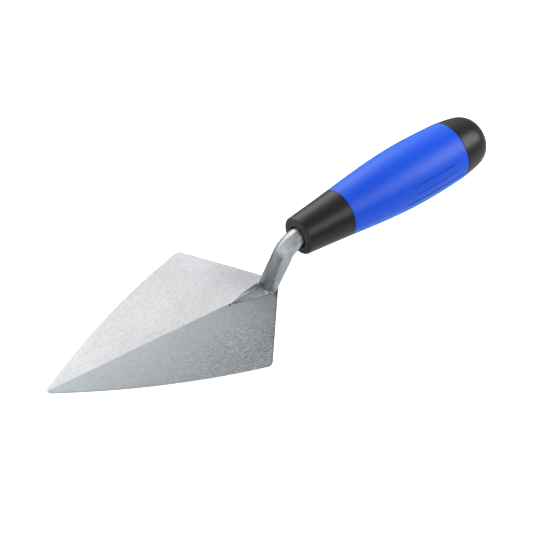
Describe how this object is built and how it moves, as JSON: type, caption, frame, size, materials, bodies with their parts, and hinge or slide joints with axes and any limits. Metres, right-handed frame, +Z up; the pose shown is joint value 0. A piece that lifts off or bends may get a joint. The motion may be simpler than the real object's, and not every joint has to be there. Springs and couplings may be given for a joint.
{
  "type": "brick trowel",
  "caption": "Hand trowel for laying mortar: a pointed steel blade on a cranked forged shank, with a blue soft grip between a black collar and a black domed end cap",
  "frame": {"origin": "on the flat underside of the blade, straight below the upright leg of the shank", "axes": "+X runs from the blade tip towards the butt of the handle, +Y is across the blade, +Z is up from the blade; the XZ plane is the plane of symmetry"},
  "size_m": [0.2729, 0.0812, 0.0753],
  "materials": {
    "blade_steel": "taper ground sheet steel, fine belt grain running a different way on each facet",
    "forged_steel": "forged bar, ground and lightly polished",
    "weld_steel": "weld fillet, ground smooth",
    "black_plastic": "semi-gloss moulded black",
    "core_plastic": "plain moulding, hidden",
    "blue_grip": "satin soft-touch skin",
    "cap_plastic": "semi-gloss moulded black",
    "washer_steel": "zinc plated, hidden",
    "nut_steel": "zinc plated, hidden"
  },
  "bodies": {
    "root": {"blade": "blade_steel", "shank": "forged_steel", "weld_bead": "weld_steel", "front_collar": "black_plastic", "handle_core": "core_plastic", "grip_sleeve": "blue_grip", "end_cap": "cap_plastic", "tang_washer": "washer_steel", "tang_nut": "nut_steel"}
  },
  "joints": []
}
